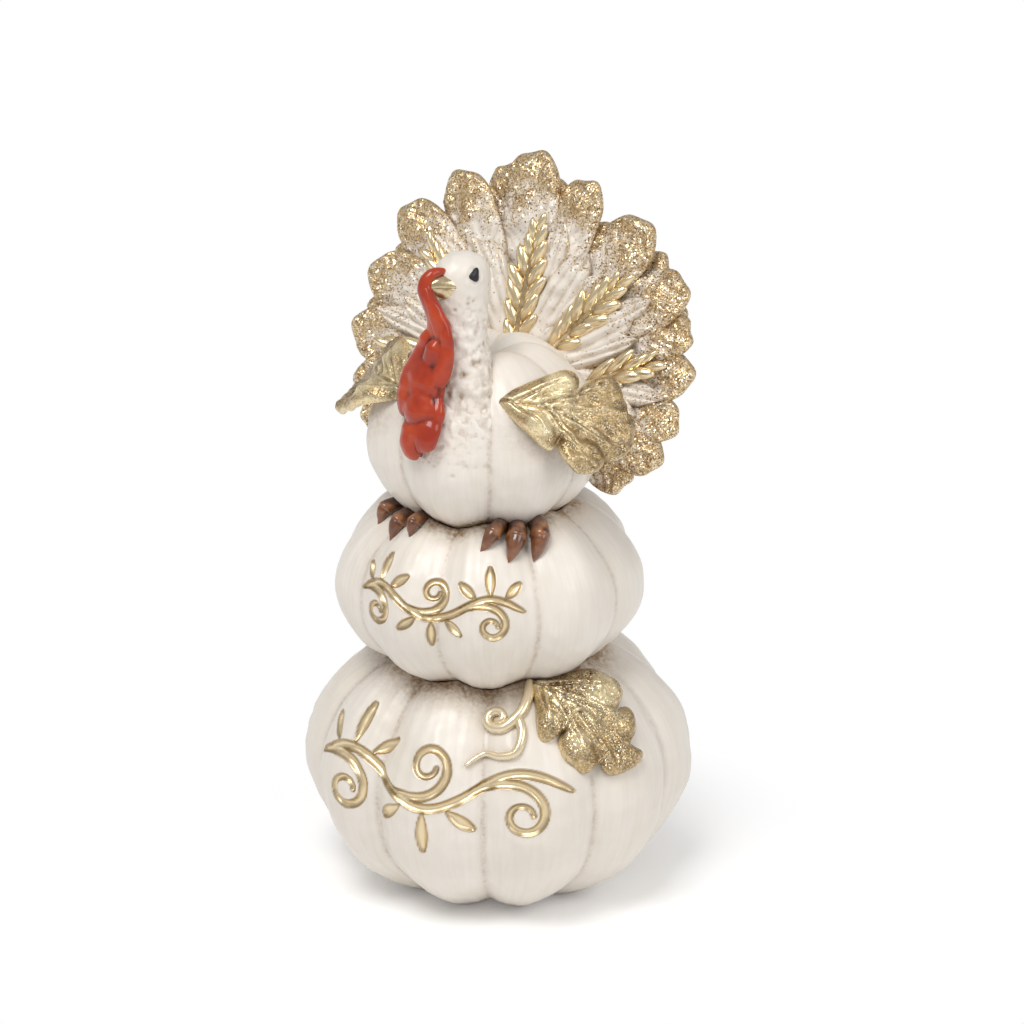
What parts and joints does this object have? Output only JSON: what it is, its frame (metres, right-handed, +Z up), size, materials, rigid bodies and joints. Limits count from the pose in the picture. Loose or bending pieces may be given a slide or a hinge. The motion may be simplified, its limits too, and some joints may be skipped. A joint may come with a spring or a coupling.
{
  "type": "turkey figure",
  "caption": "Turkey figure standing on stacked pumpkins, with a fanned tail, wheat ears, leaf wings and a vine leaf: a painted resin table decoration that rests on its flat base.",
  "frame": {"origin": "centre of the flat base of the lower pumpkin, on the surface that the figure stands on", "axes": "+Z up, -Y the way the turkey faces, +X the turkey's left"},
  "size_m": [0.086, 0.0888, 0.165],
  "materials": {
    "cream_resin": "satin",
    "feather_paint": "satin",
    "glitter_gold": "satin",
    "gold_paint": "gloss",
    "red_paint": "gloss",
    "brown_paint": "gloss",
    "black_paint": "gloss",
    "plug_rubber": "matte"
  },
  "bodies": {
    "root": {"lower_pumpkin": "cream_resin", "middle_pumpkin": "cream_resin", "upper_pumpkin": "cream_resin", "pour_hole_plug": "plug_rubber", "neck_and_head": "cream_resin", "beak_upper": "gold_paint", "beak_lower": "gold_paint", "snood_and_wattle": "red_paint", "eye_left": "black_paint", "eye_right": "black_paint", "wing_left": "glitter_gold", "wing_right": "glitter_gold", "tail_front_feather_1": "feather_paint", "tail_front_feather_2": "feather_paint", "tail_front_feather_3": "feather_paint", "tail_front_feather_4": "feather_paint", "tail_front_feather_5": "feather_paint", "tail_front_feather_6": "feather_paint", "tail_front_feather_7": "feather_paint", "tail_front_feather_8": "feather_paint", "tail_front_feather_9": "feather_paint", "tail_front_feather_10": "feather_paint", "tail_front_feather_11": "feather_paint", "tail_front_feather_12": "feather_paint", "tail_front_feather_13": "feather_paint", "tail_front_feather_14": "feather_paint", "tail_front_feather_15": "feather_paint", "tail_front_feather_16": "feather_paint", "tail_back_feather_1": "feather_paint", "tail_back_feather_2": "feather_paint", "tail_back_feather_3": "feather_paint", "tail_back_feather_4": "feather_paint", "tail_back_feather_5": "feather_paint", "tail_back_feather_6": "feather_paint", "tail_back_feather_7": "feather_paint", "tail_back_feather_8": "feather_paint", "tail_inner_feather_1": "feather_paint", "tail_inner_feather_2": "feather_paint", "tail_inner_feather_3": "feather_paint", "tail_inner_feather_4": "feather_paint", "tail_inner_feather_5": "feather_paint", "tail_inner_feather_6": "feather_paint", "wheat_ear_1": "gold_paint", "wheat_ear_2": "gold_paint", "wheat_ear_3": "gold_paint", "wheat_ear_4": "gold_paint", "wheat_ear_5": "gold_paint", "vine_leaf": "glitter_gold", "vine_curl": "gold_paint", "vine_tail": "gold_paint", "left_toe_inner": "brown_paint", "left_toe_middle": "brown_paint", "left_toe_outer": "brown_paint", "right_toe_inner": "brown_paint", "right_toe_middle": "brown_paint", "right_toe_outer": "brown_paint"}
  },
  "joints": []
}
